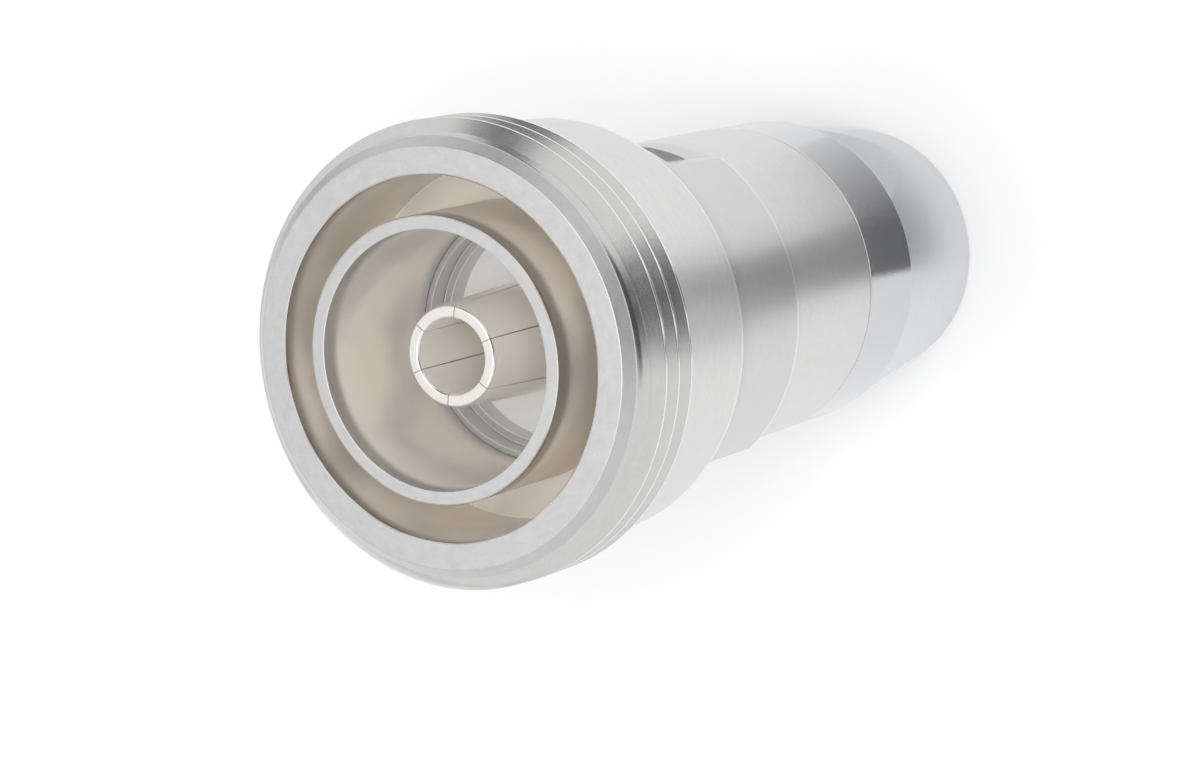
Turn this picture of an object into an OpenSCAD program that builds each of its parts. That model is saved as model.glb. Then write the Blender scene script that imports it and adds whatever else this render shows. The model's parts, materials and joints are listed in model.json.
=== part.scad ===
// Large coaxial connector, socket half, with the back nut that clamps its cable.
// Millimetres. Z runs along the connector; it stands on the end of the nut at z = 0,
// with the mating end up. X and Y are across it, the body's wrench flats face Y.

/* [Overall] */

// From the nut's end face to the front edge of the contact tube
total_length = 57; // [56:0.5:58]
// Across each pair of wrench flats
wrench_across = 19; // [18.8:0.1:19.4]
// Angle from the body's flats to the nut's flats when the nut is tight
nut_flat_angle = -40; // [-60:5:60]

/* [Mating end] */

// Bore of the thin tube that is the outer contact
tube_bore_d = 16; // [15.8:0.1:16.2]
// Wall of that tube
tube_wall = 0.87; // [0.8:0.01:1]
// Width across the ring-shaped recess around the tube
recess_d = 22.5; // [22.2:0.1:22.8]
// Depth of the recess behind the tube's front edge
recess_depth = 9; // [8:0.5:10]
// How far the front ring lies behind the tube's front edge
ring_setback = 0.5; // [0.3:0.1:0.8]
// Outer width of the ring's flat face
ring_face_d = 25.9; // [25.5:0.1:26.2]
// Outside of the coupling thread
thread_d = 29; // [28.8:0.1:29.2]
// Distance between the crests of the coupling thread
thread_pitch = 1.5; // [1.4:0.05:1.6]
// How far the first crest lies behind the ring's face
first_crest = 1.05; // [0.9:0.05:1.2]
// Where the coupling thread ends, behind the tube's front edge
thread_end = 6.6; // [6:0.1:7.5]

/* [Body steps] */

// Collar behind the thread
collar_d = 26.8; // [26.4:0.1:27.2]
// Where the collar ends
collar_end = 14.8; // [14:0.1:15.5]
// Step that carries the wrench flats
grip_d = 24.3; // [24:0.1:24.6]
// Where that step ends
grip_end = 24.5; // [24:0.1:25]
// Where the wrench flats start
flat_start = 18; // [17:0.1:19]
// Rear barrel
barrel_d = 21.3; // [21.2:0.1:21.6]
// Where the barrel ends and the nut begins
barrel_end = 37.4; // [37:0.1:37.6]
// Bevel on the turned corners
corner_bevel = 0.3; // [0.2:0.05:0.4]

/* [Centre contact] */

// Width of the socket at its root
socket_d = 7; // [6.8:0.1:7.2]
// Width of the socket at its tip
socket_tip_d = 6.3; // [6.1:0.1:6.5]
// Bore for the mating pin
pin_bore_d = 4.7; // [4.6:0.05:5]
// Depth of that bore
pin_bore_depth = 11; // [10:0.5:11.5]
// How far the tip lies behind the tube's front edge
socket_setback = 2; // [1.5:0.1:2.5]
// Width of the slots between the spring fingers
slot_width = 0.2; // [0.15:0.05:0.35]
// Length of those slots
slot_length = 9; // [8:0.5:10]
// Angle of the first slot
slot_angle = 18; // [0:1:59]
// Length over which the fingers taper toward the tip
taper_length = 7; // [6:0.5:7.5]
// Stem through the two insulators
stem_d = 4.8; // [4.6:0.1:5]
// Bore in the stem for the cable's inner wire
wire_bore_d = 3.1; // [2.9:0.1:3.3]
// Depth of that bore
wire_bore_depth = 6; // [5:0.5:7]
// How far the bore's floor lies behind the rear insulator
wire_bore_stop = 1; // [0.5:0.1:1.5]
// How far the stem's slots end short of the bore's floor
stem_slot_stop = 1; // [0.5:0.1:1.5]

/* [Insulators and ring] */

// Front face of the front insulator, behind the tube's front edge
insulator_front = 14; // [13.5:0.1:14.5]
// Thickness of the front insulator
insulator_length = 5; // [4.5:0.1:5.2]
// Length of the ring that keeps the front insulator in
keeper_length = 2.8; // [2:0.1:3]
// Length of its thicker foot
keeper_foot = 1.4; // [1:0.1:1.8]
// Wall of that ring at its foot
keeper_wall = 1; // [0.8:0.1:1.2]
// Wall of its thinner front part
keeper_lip = 0.45; // [0.4:0.05:0.6]
// Thickness of the wall between the two insulators
web_length = 4.5; // [4:0.1:4.8]
// Hole through that wall
web_hole_d = 9; // [8:0.1:10]
// Width of the rear insulator
rear_insulator_d = 12.8; // [12:0.1:13]
// Thickness of the rear insulator
rear_insulator_length = 3; // [2.5:0.1:3.2]

/* [Back nut and clamp] */

// Wall of the nut's threaded neck
neck_wall = 1.5; // [1.4:0.05:1.55]
// Length of the neck in the body
neck_length = 7; // [6.5:0.1:7.2]
// Front band of the nut
band_d = 21.2; // [21:0.1:21.4]
// Length of the front band
band_length = 6.2; // [5.8:0.1:6.5]
// Front of the nut's tapered grip
taper_front_d = 20.9; // [20.6:0.1:20.9]
// End of the nut's tapered grip
taper_end_d = 17.6; // [17.4:0.1:17.8]
// Pocket for the clamping pieces
pocket_d = 15; // [14.8:0.1:15.2]
// Depth of the pocket from the end of the neck
pocket_depth = 17.6; // [17.2:0.1:18]
// Ledge between the pocket and the hole for the jacketed cable
pocket_ledge = 1.6; // [1.5:0.05:1.8]
// How much narrower the gasket's hole is, to grip the jacket
gasket_grip = 0.5; // [0.3:0.1:0.8]
// Length of the rubber gasket
gasket_length = 5; // [4.5:0.5:5.5]
// Length of the pressure ring
pressure_length = 7; // [6.5:0.5:7.5]
// Thickness of the coiled spring ring
spring_d = 2.4; // [2.2:0.1:2.6]
// Thickness of the sealing ring on the neck
seal_d = 1.4; // [1.3:0.05:1.5]
// How deep the middle of the sealing ring lies under the neck's surface
seal_lap = 0.25; // [0.2:0.05:0.3]
// Depth of the wider bore around the sealing ring
seal_bore_depth = 3; // [2.5:0.1:3.5]

/* [Clearances] */

// Radial play between the nut's neck and the body
thread_play = 0.08; // [0.05:0.01:0.12]
// Radial play of the loose pieces in the nut's pocket
pocket_play = 0.06; // [0.04:0.01:0.1]
// Gap between the tight nut and the body's end
joint_gap = 0.1; // [0.05:0.05:0.2]
// Radial room around the sealing ring
seal_room = 0.1; // [0.05:0.05:0.15]
// Room ahead of the neck's end when the nut is tight
end_room = 1; // [0.5:0.1:1.5]

/* [Hidden] */

$fn = 96;

silver = [0.80, 0.79, 0.76];
nut_grey = [0.68, 0.70, 0.73];
gold_tan = [0.82, 0.76, 0.65];
white = [0.93, 0.92, 0.89];
rubber = [0.10, 0.10, 0.11];

// Heights of the body's steps above the nut's end face
ring_top = total_length - ring_setback;
thread_low = total_length - thread_end;
collar_low = total_length - collar_end;
flat_top = total_length - flat_start;
grip_low = total_length - grip_end;
barrel_low = total_length - barrel_end;
tube_r = tube_bore_d / 2;
tube_outer_r = tube_r + tube_wall;
thread_bevel = (thread_d - ring_face_d) / 2;

// Form of a metric thread: depth and crest as shares of the pitch, slope of the flanks
depth_share = 0.6134;
crest_share = 0.125;
flank_angle = 30;

// Coupling thread: depth, half widths at crest and root, and the reach of the ridge into the core
thread_r = thread_d / 2;
thread_depth = depth_share * thread_pitch;
core_r = thread_r - thread_depth;
ridge_sink = 0.15;
crest_half = crest_share * thread_pitch / 2;
root_half = crest_half + (thread_depth + ridge_sink) * tan(flank_angle);
ridge_steps = 36;
ridge_turns = ceil((thread_end - ring_setback) / thread_pitch) + 1;
ridge_low = ring_top - first_crest - (ridge_turns - 1) * thread_pitch;
ridge_count = ridge_turns * ridge_steps;
ridge_section = [[core_r - ridge_sink, -root_half], [thread_r, -crest_half],
                 [thread_r, crest_half], [core_r - ridge_sink, root_half]];
clip_margin = 0.2;

// Heights inside the body
insulator_top = total_length - insulator_front;
insulator_low = insulator_top - insulator_length;
web_low = insulator_low - web_length;
rear_low = web_low - rear_insulator_length;
neck_d = pocket_d + 2 * neck_wall;
neck_bore_r = neck_d / 2 + thread_play;
neck_top = barrel_low + neck_length;
neck_bore_top = neck_top + end_room;
seal_r = neck_d / 2 - seal_lap;
seal_bore_r = seal_r + seal_d / 2 + seal_room;
socket_top = total_length - socket_setback;
wire_bore_top = rear_low - wire_bore_stop;
stem_low = wire_bore_top - wire_bore_depth;
finger_cuts = 3;
stem_cuts = 2;

// Heights inside the nut
nut_top = barrel_low - joint_gap;
band_low = nut_top - band_length;
pocket_low = neck_top - pocket_depth;
cable_d = pocket_d - 2 * pocket_ledge;
gasket_hole_d = cable_d - gasket_grip;
gasket_top = pocket_low + gasket_length;
pressure_top = gasket_top + pressure_length;
loose_r = pocket_d / 2 - pocket_play;
spring_r = loose_r - spring_d / 2;
seal_z = nut_top + seal_d / 2 + joint_gap;
seal_groove_r = seal_r - seal_d / 2;
cut = 1;

// A pair of wide blocks that leave two parallel flats between them
module flat_pair(low, high) {
    for (side = [-1, 1])
        translate([-thread_d, side > 0 ? wrench_across / 2 : -wrench_across / 2 - thread_d, low])
            cube([2 * thread_d, thread_d, high - low]);
}

// Slots across a tube, two to each cut
module slots(count, width, low, high, reach) {
    for (i = [0 : count - 1])
        rotate([0, 0, i * 180 / count])
            translate([-reach, -width / 2, low])
                cube([2 * reach, width, high - low]);
}

// Ridge of the coupling thread: one section carried up a right-handed helix
module thread_ridge() {
    corners = len(ridge_section);
    points = [
        for (i = [0 : ridge_count])
            for (corner = ridge_section)
                [
                    corner[0] * cos(i * 360 / ridge_steps),
                    corner[0] * sin(i * 360 / ridge_steps),
                    ridge_low + i * thread_pitch / ridge_steps + corner[1]
                ]
    ];
    sides = [
        for (i = [0 : ridge_count - 1])
            for (k = [0 : corners - 1])
                let (here = i * corners + k, next = i * corners + (k + 1) % corners)
                    each [[here, next, here + corners], [next, next + corners, here + corners]]
    ];
    last = ridge_count * corners;
    ends = [[3, 2, 1, 0], [last, last + 1, last + 2, last + 3]];
    polyhedron(points = points, faces = concat(sides, ends));
}

// The ridge, trimmed by the ring's front bevel and by the end of the thread
module coupling_thread() {
    intersection() {
        thread_ridge();
        rotate_extrude()
            polygon([
                [recess_d / 2, thread_low],
                [thread_r + clip_margin, thread_low],
                [thread_r + clip_margin, ring_top - thread_bevel - clip_margin],
                [ring_face_d / 2, ring_top],
                [recess_d / 2, ring_top]
            ]);
    }
}

// Turned body with the contact tube, the coupling ring and the barrel
module front_body() {
    color(silver)
    difference() {
        rotate_extrude()
            polygon([
                [0, barrel_low],
                [barrel_d / 2 - corner_bevel, barrel_low],
                [barrel_d / 2, barrel_low + corner_bevel],
                [barrel_d / 2, grip_low],
                [grip_d / 2 - corner_bevel, grip_low],
                [grip_d / 2, grip_low + corner_bevel],
                [grip_d / 2, collar_low],
                [collar_d / 2 - corner_bevel, collar_low],
                [collar_d / 2, collar_low + corner_bevel],
                [collar_d / 2, thread_low],
                [core_r, thread_low],
                [core_r, ring_top - core_r + ring_face_d / 2],
                [ring_face_d / 2, ring_top],
                [recess_d / 2, ring_top],
                [recess_d / 2, total_length - recess_depth],
                [tube_outer_r, total_length - recess_depth],
                [tube_outer_r, total_length],
                [0, total_length]
            ]);
        rotate_extrude()
            polygon([
                [0, barrel_low - cut],
                [seal_bore_r, barrel_low - cut],
                [seal_bore_r, barrel_low + seal_bore_depth],
                [neck_bore_r, barrel_low + seal_bore_depth],
                [neck_bore_r, neck_bore_top],
                [rear_insulator_d / 2, neck_bore_top],
                [rear_insulator_d / 2, web_low],
                [web_hole_d / 2, web_low],
                [web_hole_d / 2, insulator_low],
                [tube_r, insulator_low],
                [tube_r, total_length + cut],
                [0, total_length + cut]
            ]);
        flat_pair(grip_low, flat_top);
    }
    color(silver)
    coupling_thread();
}

// Springy socket at the front, plain stem and a wire socket at the back
module centre_contact() {
    color(gold_tan)
    difference() {
        rotate_extrude()
            polygon([
                [wire_bore_d / 2, stem_low],
                [stem_d / 2, stem_low],
                [stem_d / 2, insulator_top],
                [socket_d / 2, insulator_top],
                [socket_d / 2, socket_top - taper_length],
                [socket_tip_d / 2, socket_top - corner_bevel],
                [socket_tip_d / 2 - corner_bevel, socket_top],
                [pin_bore_d / 2 + corner_bevel, socket_top],
                [pin_bore_d / 2, socket_top - corner_bevel],
                [pin_bore_d / 2, socket_top - pin_bore_depth],
                [0, socket_top - pin_bore_depth],
                [0, wire_bore_top],
                [wire_bore_d / 2, wire_bore_top]
            ]);
        rotate([0, 0, slot_angle])
            slots(finger_cuts, slot_width, socket_top - slot_length, socket_top + cut, socket_d);
        slots(stem_cuts, slot_width, stem_low - cut, wire_bore_top - stem_slot_stop, stem_d);
    }
}

// Plain disc with the stem's hole
module disc(width, low, high) {
    difference() {
        translate([0, 0, low])
            cylinder(d = width, h = high - low);
        translate([0, 0, low - cut])
            cylinder(d = stem_d, h = high - low + 2 * cut);
    }
}

// White disc that carries the contact in the front bore
module front_insulator() {
    color(white)
    disc(tube_bore_d, insulator_low, insulator_top);
}

// Ring pressed into the bore ahead of the front insulator
module keeper_ring() {
    color(silver)
    translate([0, 0, insulator_top])
        rotate_extrude()
            polygon([
                [tube_r - keeper_wall, 0],
                [tube_r, 0],
                [tube_r, keeper_length],
                [tube_r - keeper_lip, keeper_length],
                [tube_r - keeper_lip, keeper_foot],
                [tube_r - keeper_wall, keeper_foot]
            ]);
}

// White disc that steadies the stem behind the wall
module rear_insulator() {
    color(white)
    disc(rear_insulator_d, rear_low, web_low);
}

// Coiled ring that grips the cable's corrugated sheath
module spring_ring() {
    color(gold_tan)
    translate([0, 0, pressure_top + spring_d / 2])
        rotate_extrude()
            translate([spring_r, 0])
                circle(d = spring_d);
}

// Sleeve between the gasket and the spring ring
module pressure_ring() {
    color(silver)
    difference() {
        translate([0, 0, gasket_top])
            cylinder(r = loose_r, h = pressure_length);
        translate([0, 0, gasket_top - cut])
            cylinder(d = cable_d, h = pressure_length + 2 * cut);
    }
}

// Rubber sleeve that seals on the cable's jacket
module cable_gasket() {
    color(rubber)
    difference() {
        translate([0, 0, pocket_low])
            cylinder(r = loose_r, h = gasket_length);
        translate([0, 0, pocket_low - cut])
            cylinder(d = gasket_hole_d, h = gasket_length + 2 * cut);
    }
}

// Rubber ring in the groove at the root of the neck
module sealing_ring() {
    color(rubber)
    translate([0, 0, seal_z])
        rotate_extrude()
            translate([seal_r, 0])
                circle(d = seal_d);
}

// Nut with a threaded neck, a smooth band and a tapered grip
module back_nut() {
    color(nut_grey)
    rotate([0, 0, nut_flat_angle])
    difference() {
        rotate_extrude()
            polygon([
                [cable_d / 2, 0],
                [taper_end_d / 2 - corner_bevel, 0],
                [taper_end_d / 2, corner_bevel],
                [taper_front_d / 2, band_low],
                [band_d / 2, band_low],
                [band_d / 2, nut_top - corner_bevel],
                [band_d / 2 - corner_bevel, nut_top],
                [seal_groove_r, nut_top],
                [seal_groove_r, seal_z + seal_d / 2 + joint_gap],
                [neck_d / 2, seal_z + seal_d / 2 + joint_gap],
                [neck_d / 2, neck_top - corner_bevel],
                [neck_d / 2 - corner_bevel, neck_top],
                [pocket_d / 2, neck_top],
                [pocket_d / 2, pocket_low],
                [cable_d / 2, pocket_low]
            ]);
        flat_pair(-cut, band_low);
    }
}

front_body();
centre_contact();
front_insulator();
keeper_ring();
rear_insulator();
spring_ring();
pressure_ring();
cable_gasket();
sealing_ring();
back_nut();
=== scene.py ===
"""Looks of a large coaxial connector and its cable back nut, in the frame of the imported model.

Sizes are in millimetres, and heights run up from the nut's end face. Meshes are made in metres.
"""
import json
import math
from types import SimpleNamespace

import bpy
import numpy as np
from mathutils import Matrix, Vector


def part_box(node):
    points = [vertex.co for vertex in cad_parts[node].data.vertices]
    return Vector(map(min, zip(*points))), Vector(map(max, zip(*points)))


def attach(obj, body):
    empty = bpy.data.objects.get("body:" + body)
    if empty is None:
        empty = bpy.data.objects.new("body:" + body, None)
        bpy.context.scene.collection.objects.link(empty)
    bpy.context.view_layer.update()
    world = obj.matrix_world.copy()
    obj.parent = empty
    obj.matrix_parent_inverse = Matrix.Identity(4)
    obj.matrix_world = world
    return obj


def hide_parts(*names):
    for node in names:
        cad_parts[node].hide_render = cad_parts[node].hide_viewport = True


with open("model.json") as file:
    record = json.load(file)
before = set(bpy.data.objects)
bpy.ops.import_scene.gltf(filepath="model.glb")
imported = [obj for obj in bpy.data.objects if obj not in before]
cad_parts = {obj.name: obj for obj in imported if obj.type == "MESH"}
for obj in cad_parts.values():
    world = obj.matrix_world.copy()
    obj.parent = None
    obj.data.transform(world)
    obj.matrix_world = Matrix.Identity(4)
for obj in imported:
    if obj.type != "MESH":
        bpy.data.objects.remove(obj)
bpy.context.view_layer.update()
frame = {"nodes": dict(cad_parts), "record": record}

MM = 0.001
TURN = 2 * math.pi


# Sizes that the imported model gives


def span(node):
    """A round node's radius, lowest height and highest height."""
    low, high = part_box(node)
    return [round(value / MM, 2) for value in (high[0], low[2], high[2])]


MOUNT_R = {mount["name"]: mount["dims"].get("r_mm") for mount in frame["record"]["mounts"]}
THREAD_R = MOUNT_R["coupling_thread"]
TUBE_OUTER_R = MOUNT_R["contact_tube"]
PIN_R = MOUNT_R["pin_socket"]
WIRE_R = MOUNT_R["wire_socket"]
CABLE_R = MOUNT_R["cable_entry"]
_, BODY_LOW, TOP = span("front_body")
BAND_R, _, NECK_TOP = span("back_nut")
SOCKET_R, STEM_LOW, SOCKET_TOP = span("centre_contact")
TUBE_R, INSULATOR_LOW, INSULATOR_TOP = span("front_insulator")
KEEPER_TOP = span("keeper_ring")[2]
SEAT_R, _, SEAT_TOP = span("rear_insulator")
SPRING_R, SPRING_LOW, SPRING_TOP = span("spring_ring")
POCKET_LOW = span("cable_gasket")[1]

# Other sizes of the body, from its mating end down
RING_TOP = TOP - 0.5
RING_FACE_R = 12.95
RECESS_R = 11.25
RECESS_FLOOR = TOP - 9.0
PITCH = 1.5
FIRST_CREST = RING_TOP - 1.05
CORE_R = 13.58
RIDGE_SINK = 0.13
THREAD_LOW = TOP - 6.6
COLLAR_R = 13.4
COLLAR_LOW = TOP - 14.8
GRIP_R = 12.15
GRIP_LOW = TOP - 24.5
FLAT_TOP = TOP - 18.0
BARREL_R = 10.65
WEB_R = 4.5
NECK_BORE_R = 9.08
NECK_BORE_TOP = 27.6
SEAL_BORE_R = 9.55
SEAL_BORE_TOP = 22.6

# Wrench flats, bevels and softened edges
FLAT_HALF = 9.5
BODY_FLAT_ANGLE = math.radians(90)
NUT_FLAT_ANGLE = math.radians(50)
BEVEL = 0.3
FINE_BEVEL = 0.12
EDGE = 0.05
HAIR = 0.01

# Socket, keeper ring and coiled ring
SOCKET_TIP_R = 3.15
FINGERS = 6
FIRST_SLOT = math.radians(18)
SLOT_LOW = SOCKET_TOP - 9.0
TAPER_LOW = SOCKET_TOP - 7.0
SLOT_HALF_ROOT = 0.07
SLOT_HALF_TIP = 0.025
PIN_FLOOR = SOCKET_TOP - 11.0
WIRE_FLOOR = STEM_LOW + 6.0
STEM_R = 2.4
KEEPER_WALL = 1.0
KEEPER_LIP = 0.45
KEEPER_STEP = INSULATOR_TOP + 1.4
COILS = 44
WIRE_HALF = 0.24

# Nut
NUT_TOP = 19.5
BAND_LOW = 13.3
TAPER_END_R = 8.8
TAPER_FRONT_R = 10.45
GROOVE_R = 8.05
GROOVE_TOP = 21.1
NECK_R = 9.0
NECK_ROOT_R = 8.45
NECK_PITCH = 1.0
NECK_FIRST_CREST = NECK_TOP - 4.6
POCKET_R = 7.5


# Surfaces


def soften(points, radius=EDGE, steps=2, closed=True):
    """An outline whose corners are cut back by a radius and rounded by a quadratic curve between the cuts.

    One more point on each side of a corner keeps the long walls flat to the light.
    """
    p = np.asarray(points, float)
    before = np.roll(p, 1, axis=0) - p
    after = np.roll(p, -1, axis=0) - p
    len_before = np.linalg.norm(before, axis=1, keepdims=True)
    len_after = np.linalg.norm(after, axis=1, keepdims=True)
    shorter = np.minimum(len_before, len_after)
    cut = np.minimum(radius, 0.3 * shorter)
    hold = cut + np.minimum(radius, 0.15 * shorter)
    a = p + before / len_before * cut
    b = p + after / len_after * cut
    t = np.linspace(0, 1, steps + 1)[None, :, None]
    curve = (1 - t) ** 2 * a[:, None] + 2 * t * (1 - t) * p[:, None] + t**2 * b[:, None]
    guard_a = p + before / len_before * hold
    guard_b = p + after / len_after * hold
    soft = np.concatenate([guard_a[:, None], curve, guard_b[:, None]], axis=1)
    if closed:
        return soft.reshape(-1, 2)
    return np.concatenate([p[:1], soft[1:-1].reshape(-1, 2), p[-1:]])


def refine(outline, low, high, inner, step):
    """A closed outline with evenly spaced points added between two heights, outside a radius."""
    p = np.asarray(outline, float)
    q = np.roll(p, -1, axis=0)
    middle = (p + q) / 2
    dense = (middle[:, 1] > low) & (middle[:, 1] < high) & (middle[:, 0] > inner)
    wanted = np.ceil(np.linalg.norm(q - p, axis=1) / step)
    count = np.where(dense, np.maximum(1, wanted), 1).astype(int)
    start = np.repeat(np.arange(len(p)), count)
    first = np.repeat(np.cumsum(count) - count, count)
    t = ((np.arange(count.sum()) - first) / count[start])[:, None]
    return p[start] * (1 - t) + q[start] * t


def grid_mesh(name, xyz, wrap_rows, wrap_columns, caps=()):
    """Joins a rows by columns grid of points with quads; caps are extra many-sided faces."""
    rows, columns = xyz.shape[:2]
    i = np.arange(rows if wrap_rows else rows - 1)[:, None]
    j = np.arange(columns if wrap_columns else columns - 1)[None, :]
    here = i * columns + j
    right = i * columns + (j + 1) % columns
    up = ((i + 1) % rows) * columns + j
    far = ((i + 1) % rows) * columns + (j + 1) % columns
    quads = np.stack([here, right, far, up], axis=-1).reshape(-1, 4)
    loops = np.concatenate([quads.ravel(), *caps]).astype(np.int32)
    totals = np.array([4] * len(quads) + [len(cap) for cap in caps], np.int32)
    mesh = bpy.data.meshes.new(name)
    mesh.vertices.add(rows * columns)
    mesh.vertices.foreach_set("co", (xyz * MM).astype(np.float32).ravel())
    mesh.loops.add(len(loops))
    mesh.loops.foreach_set("vertex_index", loops)
    mesh.polygons.add(len(totals))
    mesh.polygons.foreach_set("loop_start", (np.cumsum(totals) - totals).astype(np.int32))
    mesh.polygons.foreach_set("loop_total", totals)
    mesh.polygons.foreach_set("use_smooth", np.ones(len(totals), bool))
    mesh.update(calc_edges=True)
    mesh.validate()
    return mesh


def turned(outline, count):
    """An outline of radius and height carried once round the axis in equal steps of angle."""
    angle = np.arange(count) * TURN / count
    r, a = np.meshgrid(outline[:, 0], angle, indexing="ij")
    z = np.repeat(outline[:, 1:2], count, axis=1)
    return np.stack([r * np.cos(a), r * np.sin(a), z], axis=-1)


def cut_flats(xyz, rows, normal_angle):
    """Moves the points of the given rows that lie beyond two parallel planes square onto those planes."""
    c, s = math.cos(normal_angle), math.sin(normal_angle)
    out = xyz[..., 0] * c + xyz[..., 1] * s
    over = np.where(rows[:, None], out - np.clip(out, -FLAT_HALF, FLAT_HALF), 0)
    moved = xyz.copy()
    moved[..., 0] -= over * c
    moved[..., 1] -= over * s
    return moved


def front_body_mesh():
    """The body's outline carried round the axis, with two flats on its grip step."""
    barrel = [
        (SEAL_BORE_R, SEAL_BORE_TOP),
        (SEAL_BORE_R, BODY_LOW),
        (BARREL_R - FINE_BEVEL, BODY_LOW),
        (BARREL_R, BODY_LOW + FINE_BEVEL),
        (BARREL_R, GRIP_LOW),
    ]
    grip = [
        (BARREL_R + HAIR, GRIP_LOW),
        (GRIP_R - BEVEL, GRIP_LOW),
        (GRIP_R, GRIP_LOW + BEVEL),
        (GRIP_R, FLAT_TOP),
        (GRIP_R, FLAT_TOP + 2 * HAIR),
        (GRIP_R, COLLAR_LOW),
    ]
    collar = [
        (COLLAR_R - BEVEL, COLLAR_LOW),
        (COLLAR_R, COLLAR_LOW + BEVEL),
        (COLLAR_R, THREAD_LOW),
        (CORE_R, THREAD_LOW),
        (CORE_R, RING_TOP - CORE_R + RING_FACE_R),
    ]
    mouth = [
        (RING_FACE_R, RING_TOP),
        (RECESS_R, RING_TOP),
        (RECESS_R, RECESS_FLOOR),
        (TUBE_OUTER_R, RECESS_FLOOR),
        (TUBE_OUTER_R, TOP),
        (TUBE_R, TOP),
    ]
    inside = [
        (TUBE_R, INSULATOR_LOW),
        (WEB_R, INSULATOR_LOW),
        (WEB_R, SEAT_TOP),
        (SEAT_R, SEAT_TOP),
        (SEAT_R, NECK_BORE_TOP),
        (NECK_BORE_R, NECK_BORE_TOP),
        (NECK_BORE_R, SEAL_BORE_TOP),
    ]
    outline = soften(barrel + grip + collar + mouth + inside)
    r, z = outline[:, 0], outline[:, 1]
    on_grip = (z > GRIP_LOW - HAIR) & (z < FLAT_TOP + HAIR) & (r > BARREL_R + HAIR / 2)
    xyz = cut_flats(turned(outline, 400), on_grip, BODY_FLAT_ANGLE)
    return grid_mesh("front_body_shape", xyz, True, True)


def back_nut_mesh():
    """The nut's outline carried round the axis, with two flats on its tapered grip."""
    taper = [
        (CABLE_R, 0),
        (TAPER_END_R - BEVEL, 0),
        (TAPER_END_R, BEVEL),
        (TAPER_FRONT_R - HAIR, BAND_LOW - HAIR),
        (TAPER_FRONT_R, BAND_LOW),
    ]
    band = [
        (BAND_R, BAND_LOW),
        (BAND_R, NUT_TOP - FINE_BEVEL),
        (BAND_R - FINE_BEVEL, NUT_TOP),
        (GROOVE_R, NUT_TOP),
        (GROOVE_R, GROOVE_TOP),
    ]
    neck = [
        (NECK_ROOT_R, GROOVE_TOP),
        (NECK_ROOT_R, NECK_TOP),
        (POCKET_R, NECK_TOP),
        (POCKET_R, POCKET_LOW),
        (CABLE_R, POCKET_LOW),
    ]
    outline = refine(soften(taper + band + neck), BEVEL, BAND_LOW, TAPER_END_R - BEVEL, 0.25)
    r, z = outline[:, 0], outline[:, 1]
    on_taper = (z < BAND_LOW - HAIR / 2) & (r > CABLE_R + BEVEL)
    xyz = cut_flats(turned(outline, 400), on_taper, NUT_FLAT_ANGLE)
    return grid_mesh("back_nut_shape", xyz, True, True)


def ridge_mesh(name, crest, root, pitch, first, low, high, bevel):
    """A thread ridge: a section, narrow at the crest and wide at the root, carried up a right-handed helix.

    The helix's height is first plus pitch times turns. Points are held between two heights, and inside a
    bevel where radius plus height is at most the given sum.
    """
    slope = math.tan(math.radians(30))
    per_turn = 240
    half = pitch / 16
    wide = half + (crest - root) * slope
    section = soften([(root, -wide), (crest, -half), (crest, half), (root, wide)], 0.03)
    begin = math.floor((low - first - wide) / pitch)
    end = math.ceil((high - first + wide) / pitch)
    turns = np.arange((end - begin) * per_turn + 1) / per_turn + begin
    middle = first + pitch * turns[None, :]
    z = np.clip(middle + section[:, 1:2], low, high)
    lean = np.maximum(np.abs(z - middle) - half, 0) / slope
    r = np.minimum(np.clip(section[:, :1], root, crest - lean), bevel - z)
    a = turns[None, :] * TURN
    rows = np.arange(len(section)) * len(turns)
    caps = [rows[::-1], rows + len(turns) - 1]
    return grid_mesh(name, np.stack([r * np.cos(a), r * np.sin(a), z], axis=-1), True, False, caps)


def contact_stem_mesh():
    """The contact's stem and the root of its socket.

    An open outline is carried round the axis, and a many-sided face closes each of its two bores.
    """
    count = 160
    outline = [
        (WIRE_R, WIRE_FLOOR),
        (WIRE_R, STEM_LOW),
        (STEM_R, STEM_LOW),
        (STEM_R, INSULATOR_TOP),
        (SOCKET_R, INSULATOR_TOP),
        (SOCKET_R, SLOT_LOW),
        (PIN_R, SLOT_LOW),
        (PIN_R, PIN_FLOOR),
    ]
    xyz = turned(soften(outline, closed=False), count)
    ring = np.arange(count)
    caps = [ring[::-1], ring + (len(xyz) - 1) * count]
    return grid_mesh("contact_stem_shape", xyz, False, True, caps)


def finger_mesh(index):
    """One spring finger: a closed outline carried along an arc between two slots.

    The slots narrow evenly from the root to the tip.
    """
    count = 25
    outline = soften(
        [
            (PIN_R, SLOT_LOW),
            (SOCKET_R, SLOT_LOW),
            (SOCKET_R, TAPER_LOW),
            (SOCKET_TIP_R, SOCKET_TOP - FINE_BEVEL),
            (SOCKET_TIP_R - FINE_BEVEL, SOCKET_TOP),
            (PIN_R + FINE_BEVEL, SOCKET_TOP),
            (PIN_R, SOCKET_TOP - FINE_BEVEL),
        ]
    )
    r, z = outline[:, :1], outline[:, 1:2]
    gap = np.interp(z, [SLOT_LOW, SOCKET_TOP], [SLOT_HALF_ROOT, SLOT_HALF_TIP])
    margin = np.arcsin(gap / r)
    share = np.linspace(0, 1, count)[None, :]
    a = FIRST_SLOT + TURN * index / FINGERS + margin + (TURN / FINGERS - 2 * margin) * share
    xyz = np.stack([r * np.cos(a), r * np.sin(a), np.repeat(z, count, axis=1)], axis=-1)
    rows = np.arange(len(outline)) * count
    return grid_mesh(f"finger_shape_{index}", xyz, True, False, [rows[::-1], rows + count - 1])


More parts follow.
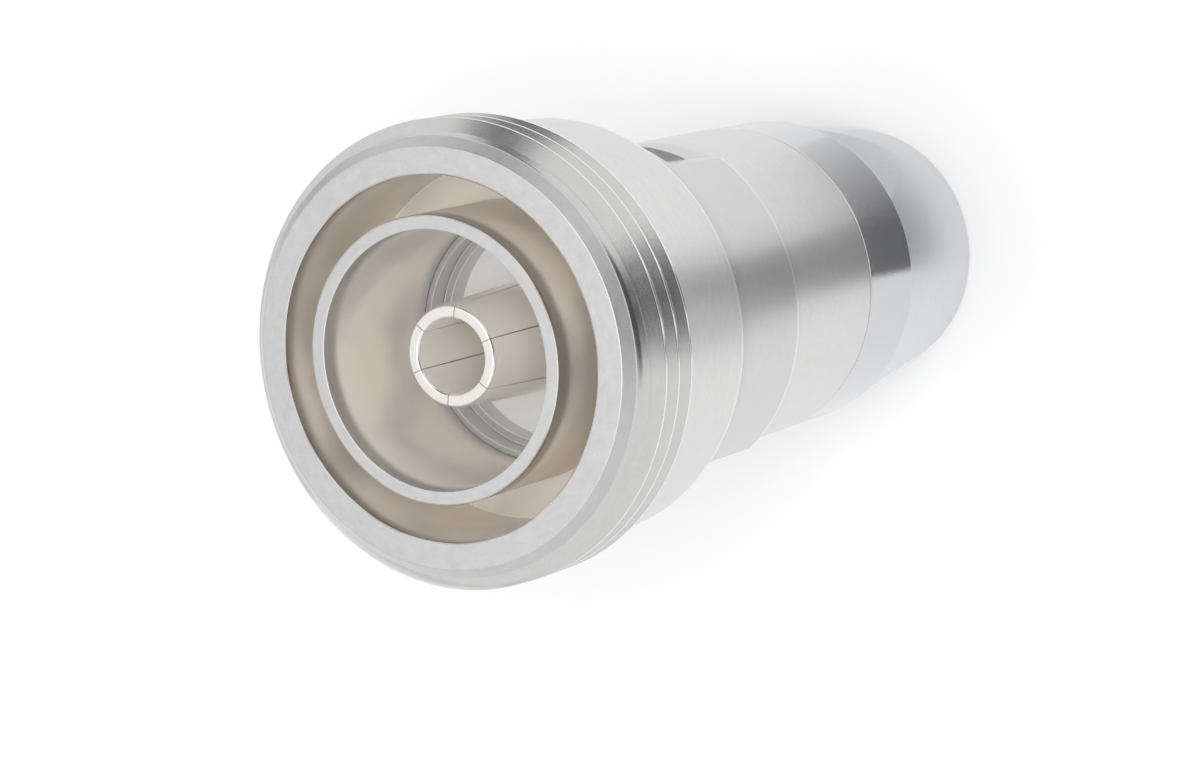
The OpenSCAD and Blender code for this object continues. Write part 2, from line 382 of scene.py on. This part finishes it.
def keeper_mesh():
    """The stepped keeper ring: its outline carried round the axis."""
    outline = [
        (TUBE_R - KEEPER_WALL, INSULATOR_TOP),
        (TUBE_R, INSULATOR_TOP),
        (TUBE_R, KEEPER_TOP),
        (TUBE_R - KEEPER_LIP, KEEPER_TOP),
        (TUBE_R - KEEPER_LIP, KEEPER_STEP),
        (TUBE_R - KEEPER_WALL, KEEPER_STEP),
    ]
    return grid_mesh("keeper_shape", turned(soften(outline), 200), True, True)


def spring_mesh():
    """A round wire carried along a helix that is itself bent into a ring."""
    per_coil, sides = 20, 8
    thickness = SPRING_TOP - SPRING_LOW
    coil_r = thickness / 2 - WIRE_HALF - HAIR
    t = np.arange(COILS * per_coil) / (COILS * per_coil) * TURN
    ring = np.stack([np.cos(t), np.sin(t), 0 * t], axis=-1)
    up = np.array([0.0, 0.0, 1.0])
    out = np.cos(COILS * t)[:, None] * ring + np.sin(COILS * t)[:, None] * up
    centre = (SPRING_R - thickness / 2) * ring + coil_r * out + (SPRING_LOW + thickness / 2) * up
    along = np.roll(centre, -1, axis=0) - np.roll(centre, 1, axis=0)
    along /= np.linalg.norm(along, axis=1, keepdims=True)
    side = np.cross(along, out)
    w = np.arange(sides) * TURN / sides
    circle = np.cos(w)[None, :, None] * out[:, None] + np.sin(w)[None, :, None] * side[:, None]
    return grid_mesh("spring_shape", centre[:, None] + WIRE_HALF * circle, True, True)


# Materials


def math_node(tree, operation, a, b=None, c=None, clamp=False):
    """One math node; each of a, b and c is a number or a socket."""
    node = tree.nodes.new("ShaderNodeMath")
    node.operation = operation
    node.use_clamp = clamp
    for socket, value in zip(node.inputs, (a, b, c)):
        if isinstance(value, (int, float)):
            socket.default_value = value
        elif value is not None:
            tree.links.new(value, socket)
    return node.outputs[0]


def product(tree, *masks):
    """The product of several masks."""
    result = masks[0]
    for mask in masks[1:]:
        result = math_node(tree, "MULTIPLY", result, mask)
    return result


def ramp(tree, value, low, high, start=0.0, end=1.0):
    """A value that goes smoothly from start, where the input is low, to end, where it is high."""
    node = tree.nodes.new("ShaderNodeMapRange")
    node.interpolation_type = "SMOOTHSTEP"
    tree.links.new(value, node.inputs["Value"])
    for label, number in (("From Min", low), ("From Max", high), ("To Min", start), ("To Max", end)):
        node.inputs[label].default_value = number
    return node.outputs["Result"]


def mix_colour(tree, mask, colour_a, colour_b):
    """A colour that goes from a to b with a mask; each colour is a triple or a socket."""
    node = tree.nodes.new("ShaderNodeMix")
    node.data_type = "RGBA"
    tree.links.new(mask, node.inputs["Factor"])
    for socket, value in ((node.inputs[6], colour_a), (node.inputs[7], colour_b)):
        if isinstance(value, tuple):
            socket.default_value = (*value, 1)
        else:
            tree.links.new(value, socket)
    return node.outputs[2]


def noise(tree, place, scale, detail):
    """A noise value at a place."""
    node = tree.nodes.new("ShaderNodeTexNoise")
    node.inputs["Scale"].default_value = scale
    node.inputs["Detail"].default_value = detail
    tree.links.new(place, node.inputs["Vector"])
    return node.outputs[0]


def lathe_group():
    """Radius and height in mm, a grain of tool marks round the axis with fine specks, and broad clouds."""
    group = bpy.data.node_groups.new("lathe marks", "ShaderNodeTree")
    for label in ("Fineness", "Contrast"):
        group.interface.new_socket(label, in_out="INPUT", socket_type="NodeSocketFloat")
    for label in ("Radius", "Height", "Grain", "Clouds"):
        group.interface.new_socket(label, in_out="OUTPUT", socket_type="NodeSocketFloat")
    inside = group.nodes.new("NodeGroupInput")
    outside = group.nodes.new("NodeGroupOutput")
    place = group.nodes.new("ShaderNodeTexCoord").outputs["Object"]
    parts = group.nodes.new("ShaderNodeSeparateXYZ")
    group.links.new(place, parts.inputs[0])
    x, y, z = parts.outputs
    squares = math_node(group, "ADD", product(group, x, x), product(group, y, y))
    metres = math_node(group, "SQRT", squares)
    radius = math_node(group, "MULTIPLY", metres, 1 / MM)
    height = math_node(group, "MULTIPLY", z, 1 / MM)
    marks_per_radian = 14.0
    spot = group.nodes.new("ShaderNodeCombineXYZ")
    line = math_node(group, "MULTIPLY_ADD", radius, 0.4, height)
    across = product(group, line, inside.outputs["Fineness"])
    cosine = math_node(group, "MULTIPLY", math_node(group, "DIVIDE", x, metres), marks_per_radian)
    sine = math_node(group, "MULTIPLY", math_node(group, "DIVIDE", y, metres), marks_per_radian)
    for value, socket in zip((across, cosine, sine), spot.inputs):
        group.links.new(value, socket)
    streaks = noise(group, spot.outputs[0], 1.0, 2.0)
    specks = noise(group, place, 11000.0, 1.0)
    both = math_node(group, "SUBTRACT", math_node(group, "ADD", streaks, specks), 1.0)
    grain = math_node(group, "MULTIPLY_ADD", both, inside.outputs["Contrast"], 0.5, clamp=True)
    clouds = noise(group, place, 140.0, 2.0)
    for label, socket in (("Radius", radius), ("Height", height), ("Grain", grain), ("Clouds", clouds)):
        group.links.new(socket, outside.inputs[label])
    return group


LATHE = lathe_group()


def finish(name, colour, rough, metallic, shift, rough_shift, relief, fineness=5.0):
    """A surface whose colour, roughness and relief follow the lathe marks.

    Its sockets are handed back, so that a plate can build on them.
    """
    material = bpy.data.materials.new(name)
    material.use_nodes = True
    tree = material.node_tree
    shader = tree.nodes["Principled BSDF"]
    shader.inputs["Metallic"].default_value = metallic
    marks = tree.nodes.new("ShaderNodeGroup")
    marks.node_tree = LATHE
    marks.inputs["Fineness"].default_value = fineness
    marks.inputs["Contrast"].default_value = 0.9
    grain = marks.outputs["Grain"]
    dark = tuple(part * (1 - shift) for part in colour)
    light = tuple(min(1.0, part * (1 + shift)) for part in colour)
    shade = mix_colour(tree, grain, dark, light)
    tree.links.new(shade, shader.inputs["Base Color"])
    roughness = math_node(tree, "MULTIPLY_ADD", grain, rough_shift, rough - rough_shift / 2, clamp=True)
    tree.links.new(roughness, shader.inputs["Roughness"])
    bump = tree.nodes.new("ShaderNodeBump")
    bump.inputs["Strength"].default_value = relief
    bump.inputs["Distance"].default_value = 0.02 * MM
    tree.links.new(grain, bump.inputs["Height"])
    tree.links.new(bump.outputs[0], shader.inputs["Normal"])
    return SimpleNamespace(
        material=material, tree=tree, shader=shader, marks=marks.outputs, colour=shade, roughness=roughness
    )


def mouth_film(tree, marks):
    """How much film lies on the walls of the recess and the tube's bore, down to the keeper ring."""
    radius, height = marks["Radius"], marks["Height"]
    in_recess = ramp(tree, radius, RECESS_R + 0.01, RECESS_R + 0.09, 1.0, 0.0)
    above_floor = ramp(tree, height, RECESS_FLOOR - 1.1, RECESS_FLOOR - 0.9)
    in_bore = ramp(tree, radius, TUBE_R + 0.02, TUBE_R + 0.1, 1.0, 0.0)
    inner = math_node(tree, "MAXIMUM", product(tree, in_recess, above_floor), in_bore)
    below_rim = ramp(tree, height, RING_TOP - 1.3, RING_TOP - 0.1, 1.0, 0.0)
    above_keeper = ramp(tree, height, KEEPER_TOP, KEEPER_TOP + 1.5)
    cloudy = ramp(tree, marks["Clouds"], 0.35, 0.65, 0.55, 1.0)
    return product(tree, inner, below_rim, above_keeper, cloudy)


def rim_stain(tree, marks):
    """Broken lines along the recess's outer rim and the tube's outer rim."""
    lines = []
    for rim_r, rim_top in ((RECESS_R, RING_TOP), (TUBE_OUTER_R, TOP)):
        off = math_node(tree, "ABSOLUTE", math_node(tree, "SUBTRACT", marks["Radius"], rim_r))
        at_rim = ramp(tree, off, 0.05, 0.14, 1.0, 0.0)
        at_top = ramp(tree, marks["Height"], rim_top - 0.35, rim_top - 0.1)
        lines.append(product(tree, at_rim, at_top))
    broken = ramp(tree, marks["Clouds"], 0.42, 0.6, 0.1, 0.8)
    return product(tree, math_node(tree, "ADD", *lines), broken)


def painted_step_shade(tree, height, step):
    """Painted shade: a mask that darkens the surface upward into the corner under a step, where the step's
    shadow would fall.
    """
    below = ramp(tree, height, step - 3.2, step - 1.6)
    return product(tree, below, ramp(tree, height, step - 0.05, step + 0.05, 1.0, 0.0))


def step_edge_highlight(tree, height, step):
    """A painted highlight: a thin lighter line along a step's lower edge, from its bevel to a little above
    it.
    """
    above = ramp(tree, height, step + BEVEL + 0.1, step + BEVEL + 0.3, 1.0, 0.0)
    return product(tree, above, ramp(tree, height, step, step + 0.1))


def silver_plate():
    """Silver plate: satin steps with a greyer grip, painted shade under each step and a painted highlight
    along each step's lower edge, a matt beige film in the mouth, and brown rim lines.
    """
    plate = finish("silver plate", (0.665, 0.66, 0.655), 0.34, 1.0, 0.09, 0.08, 0.3)
    tree, height = plate.tree, plate.marks["Height"]
    on_collar = ramp(tree, height, COLLAR_LOW - 0.05, COLLAR_LOW + 0.05)
    on_barrel = ramp(tree, height, GRIP_LOW - 0.05, GRIP_LOW + 0.05, 1.0, 0.0)
    on_grip = math_node(tree, "SUBTRACT", math_node(tree, "SUBTRACT", 1.0, on_collar), on_barrel)
    steps = (COLLAR_LOW, GRIP_LOW)
    painted_shades = math_node(tree, "ADD", *[painted_step_shade(tree, height, step) for step in steps])
    edge_highlights = math_node(tree, "ADD", *[step_edge_highlight(tree, height, step) for step in steps])
    film = mouth_film(tree, plate.marks)
    # Painted shade: the colour goes toward mid grey in the corner under each step; the grip also has its
    # own greyer tone.
    grip_grey_and_step_shade = math_node(tree, "MULTIPLY_ADD", painted_shades, 0.5, product(tree, on_grip, 0.35))
    outer = mix_colour(tree, grip_grey_and_step_shade, plate.colour, (0.5, 0.5, 0.5))
    # Painted highlight: a lighter grey along each step's lower edge, where the rounded edge would catch the
    # light.
    highlighted = mix_colour(tree, edge_highlights, outer, (0.77, 0.77, 0.76))
    beige = mix_colour(tree, film, highlighted, (0.95, 0.885, 0.805))
    stained = mix_colour(tree, rim_stain(tree, plate.marks), beige, (0.36, 0.27, 0.2))
    tree.links.new(stained, plate.shader.inputs["Base Color"])
    tree.links.new(ramp(tree, film, 0.0, 1.0, 1.0, 0.35), plate.shader.inputs["Metallic"])
    rougher = math_node(tree, "MULTIPLY_ADD", on_collar, 0.04, plate.roughness)
    rougher = math_node(tree, "MULTIPLY_ADD", on_barrel, 0.02, rougher)
    rougher = math_node(tree, "MULTIPLY_ADD", film, 0.05, rougher, clamp=True)
    tree.links.new(rougher, plate.shader.inputs["Roughness"])
    return plate.material


def nut_plate():
    """Bluer satin plate with a smoother, darker front band."""
    plate = finish("nut plate", (0.7, 0.71, 0.73), 0.42, 1.0, 0.08, 0.14, 0.25)
    band = ramp(plate.tree, plate.marks["Height"], BAND_LOW - 0.05, BAND_LOW + 0.05)
    colour = mix_colour(plate.tree, band, plate.colour, (0.6, 0.605, 0.62))
    plate.tree.links.new(colour, plate.shader.inputs["Base Color"])
    smoother = math_node(plate.tree, "MULTIPLY_ADD", band, -0.24, plate.roughness, clamp=True)
    plate.tree.links.new(smoother, plate.shader.inputs["Roughness"])
    return plate.material


def contact_plate():
    """Warm plate, half matt inside the mouth and bright on the socket's tip."""
    plate = finish("contact plate", (0.97, 0.94, 0.89), 0.24, 0.4, 0.03, 0.08, 0.04)
    bright = ramp(plate.tree, plate.marks["Height"], SOCKET_TOP - 0.2, SOCKET_TOP - 0.1, 0.4, 1.0)
    plate.tree.links.new(bright, plate.shader.inputs["Metallic"])
    return plate.material


def plain(name, tone):
    """A matt grey for the stage."""
    material = bpy.data.materials.new(name)
    material.use_nodes = True
    shader = material.node_tree.nodes["Principled BSDF"]
    shader.inputs["Base Color"].default_value = (tone, tone, tone, 1)
    shader.inputs["Roughness"].default_value = 0.8
    shader.inputs["Specular IOR Level"].default_value = 0.0
    return material


SILVER = silver_plate()
THREAD = finish("bright thread", (0.74, 0.735, 0.725), 0.16, 1.0, 0.06, 0.08, 0.08).material
NUT = nut_plate()
CONTACT = contact_plate()
WHITE = finish("white insulator", (0.9, 0.9, 0.89), 0.45, 0.0, 0.03, 0.1, 0.1).material
RUBBER = finish("black rubber", (0.03, 0.03, 0.032), 0.6, 0.0, 0.2, 0.15, 0.3).material


# Pieces


def add_piece(name, mesh, body, material, node):
    """Puts a mesh into the scene as a piece that rides on a body and stands for a node."""
    mesh.set_sharp_from_angle(angle=math.radians(50))
    mesh.materials.append(material)
    piece = bpy.data.objects.new(name, mesh)
    bpy.context.scene.collection.objects.link(piece)
    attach(piece, body)
    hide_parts(node)


add_piece("front_body_dressed", front_body_mesh(), "front", SILVER, "front_body")
coupling_root = CORE_R - RIDGE_SINK
coupling_sum = RING_FACE_R + RING_TOP - 2 * HAIR
coupling_top = coupling_sum - coupling_root
coupling_ridge = ridge_mesh(
    "coupling_ridge_shape",
    THREAD_R,
    coupling_root,
    PITCH,
    FIRST_CREST,
    THREAD_LOW,
    coupling_top,
    coupling_sum,
)
add_piece("coupling_ridge", coupling_ridge, "front", THREAD, "front_body")
neck_root = NECK_ROOT_R - EDGE
neck_sum = NECK_R + NECK_TOP - BEVEL
neck_ridge = ridge_mesh(
    "neck_ridge_shape", NECK_R, neck_root, NECK_PITCH, NECK_FIRST_CREST, GROOVE_TOP, NECK_TOP, neck_sum
)
add_piece("neck_ridge", neck_ridge, "nut", NUT, "back_nut")
add_piece("back_nut_dressed", back_nut_mesh(), "nut", NUT, "back_nut")
add_piece("contact_stem", contact_stem_mesh(), "front", CONTACT, "centre_contact")
for k in range(FINGERS):
    add_piece(f"contact_finger_{k}", finger_mesh(k), "front", CONTACT, "centre_contact")
add_piece("keeper_dressed", keeper_mesh(), "front", SILVER, "keeper_ring")
add_piece("spring_dressed", spring_mesh(), "clamp", CONTACT, "spring_ring")
for node, material, slot in (
    ("front_insulator", WHITE, "white_insulator"),
    ("rear_insulator", WHITE, "white_insulator"),
    ("pressure_ring", SILVER, "silver_plate"),
    ("cable_gasket", RUBBER, "black_rubber"),
    ("sealing_ring", RUBBER, "black_rubber"),
):
    solid = frame["nodes"][node]
    solid.data.materials.clear()
    solid.data.materials.append(material)


# Stage, light and camera

CAMERA_AZIMUTH = 10.0
FLOOR_HALF = 3000.0
CARD_HEIGHT = 0.2

# Distances from the axis at which each step, looked at from the camera, begins to mirror the floor
NUT_ZONE = 13
BARREL_ZONE = 22.5
GRIP_ZONE = 28.5
COLLAR_ZONE = 34.5
THREAD_ZONE = 41
THREAD_ZONE_END = 90

# The nut's reflection fades out over a row of narrow cards
FADE_CARDS = 10
FADE_START = 12
FADE_STEP = 6


def flat_sheet(name, corners, tone):
    """A flat many-sided sheet through an array of corners, which isn't part of the object."""
    mesh = bpy.data.meshes.new(name)
    mesh.from_pydata((np.asarray(corners, float) * MM).tolist(), [], [tuple(range(len(corners)))])
    mesh.materials.append(plain(name + " grey", tone))
    sheet = bpy.data.objects.new(name, mesh)
    bpy.context.scene.collection.objects.link(sheet)
    return sheet


def floor_card(name, start, stop, inner, outer, tone):
    """A grey card on the floor, a sector of a ring round the axis, which only mirrored light sees.

    It runs from start to stop in degrees from the camera's direction.
    """
    angle = np.radians(CAMERA_AZIMUTH + np.linspace(start, stop, 16))
    edge = np.stack([np.cos(angle), np.sin(angle)], axis=-1)
    flat = np.concatenate([inner * edge, outer * edge[::-1]])
    card = flat_sheet(name, np.column_stack([flat, np.full(len(flat), CARD_HEIGHT)]), tone)
    card.visible_camera = False
    card.visible_diffuse = False
    card.visible_shadow = False


corner_signs = np.array([(-1, -1, 0), (1, -1, 0), (1, 1, 0), (-1, 1, 0)])
flat_sheet("floor", corner_signs * FLOOR_HALF, 0.86)
floor_card("nut card", -17, FADE_START, NUT_ZONE, BARREL_ZONE, 0.16)
for k in range(FADE_CARDS):
    fade_from = FADE_START + FADE_STEP * k
    floor_card(f"nut card {k}", fade_from, fade_from + FADE_STEP, NUT_ZONE, BARREL_ZONE, 0.2 + 0.055 * k)
floor_card("barrel card", -18, 15, BARREL_ZONE, GRIP_ZONE, 0.33)
floor_card("grip card", -18, 12, GRIP_ZONE, COLLAR_ZONE, 0.1)
floor_card("collar card", -22, 8, COLLAR_ZONE, THREAD_ZONE, 0.38)
floor_card("thread card", -6, 12, THREAD_ZONE, THREAD_ZONE_END, 0.12)
floor_card("lower thread card", -24, -15, THREAD_ZONE, THREAD_ZONE_END, 0.2)
floor_card("back card", 132, 160, 150, 280, 0.12)

world = bpy.data.worlds.new("studio")
bpy.context.scene.world = world
world.use_nodes = True
sky = world.node_tree
direction = sky.nodes.new("ShaderNodeSeparateXYZ")
sky.links.new(sky.nodes.new("ShaderNodeTexCoord").outputs["Generated"], direction.inputs[0])


def patch_toward(azimuth, elevation, low, high):
    """A mask for the sky round one direction in degrees, by the cosine of the angle from it."""
    az, el = math.radians(azimuth), math.radians(elevation)
    aim = (math.cos(az) * math.cos(el), math.sin(az) * math.cos(el), math.sin(el))
    terms = [math_node(sky, "MULTIPLY", part, size) for part, size in zip(direction.outputs, aim)]
    cosine = math_node(sky, "ADD", math_node(sky, "ADD", terms[0], terms[1]), terms[2])
    return ramp(sky, cosine, low, high)


shade = math_node(
    sky, "MAXIMUM", patch_toward(CAMERA_AZIMUTH, 46, 0.9, 0.975), patch_toward(98, 28, 0.94, 0.985)
)
glow = mix_colour(sky, shade, (0.82, 0.82, 0.825), (0.08, 0.08, 0.085))
sky.links.new(glow, sky.nodes["Background"].inputs["Color"])


def soft_light(name, azimuth, elevation, distance, size, power):
    """A square light that faces the connector's foot from a direction in degrees; power is in watts."""
    lamp = bpy.data.lights.new(name, "AREA")
    lamp.size = size * MM
    lamp.energy = power
    holder = bpy.data.objects.new(name, lamp)
    round_axis = Matrix.Rotation(math.radians(azimuth), 4, "Z")
    down = Matrix.Rotation(math.radians(90 - elevation), 4, "Y")
    holder.matrix_world = round_axis @ down @ Matrix.Translation((0, 0, distance * MM))
    bpy.context.scene.collection.objects.link(holder)
    return holder


soft_light("top light", 0, 90, 700, 500, 0.8)
fill = soft_light("fill light", CAMERA_AZIMUTH, 60, 650, 300, 2.2)
fill.visible_glossy = False


def photo_camera():
    """The photograph's camera, from circles fitted on the connector.

    It has a distance and a tilt from the axis, three turns of its own and a lens.
    """
    distance, tilt, turn_a, turn_b, turn_c = 226.7, 34.591, 2.3487, 1.0830, 255.3938
    tilt, turn_a, turn_b, turn_c = np.radians([tilt, turn_a, turn_b, turn_c])
    place = np.array([distance * np.sin(tilt), 0, distance * np.cos(tilt)])
    ahead = -place / distance
    right = np.cross(ahead, [0, 0, 1])
    right /= np.linalg.norm(right)
    basis = Matrix(np.stack([right, np.cross(ahead, right), ahead]).tolist())
    turns = Matrix.Rotation(turn_c, 3, "Z") @ Matrix.Rotation(turn_b, 3, "Y")
    turns = turns @ Matrix.Rotation(turn_a, 3, "X")
    spin = Matrix.Rotation(math.radians(CAMERA_AZIMUTH), 3, "Z")
    rows = np.array(turns @ basis)
    axes = spin @ Matrix(np.stack([rows[0], -rows[1], -rows[2]], axis=1).tolist())
    spot = (np.array(spin) @ place + np.array([0, 0, TOP])) * MM
    lens = bpy.data.cameras.new("photo camera")
    lens.sensor_width = 36.0
    lens.lens = 112.716
    lens.clip_start = 0.01
    lens.clip_end = 20.0
    holder = bpy.data.objects.new("photo camera", lens)
    bpy.context.scene.collection.objects.link(holder)
    holder.matrix_world = Matrix.Translation(spot.tolist()) @ axes.to_4x4()
    bpy.context.scene.camera = holder


photo_camera()
bpy.context.scene.view_settings.view_transform = "Standard"
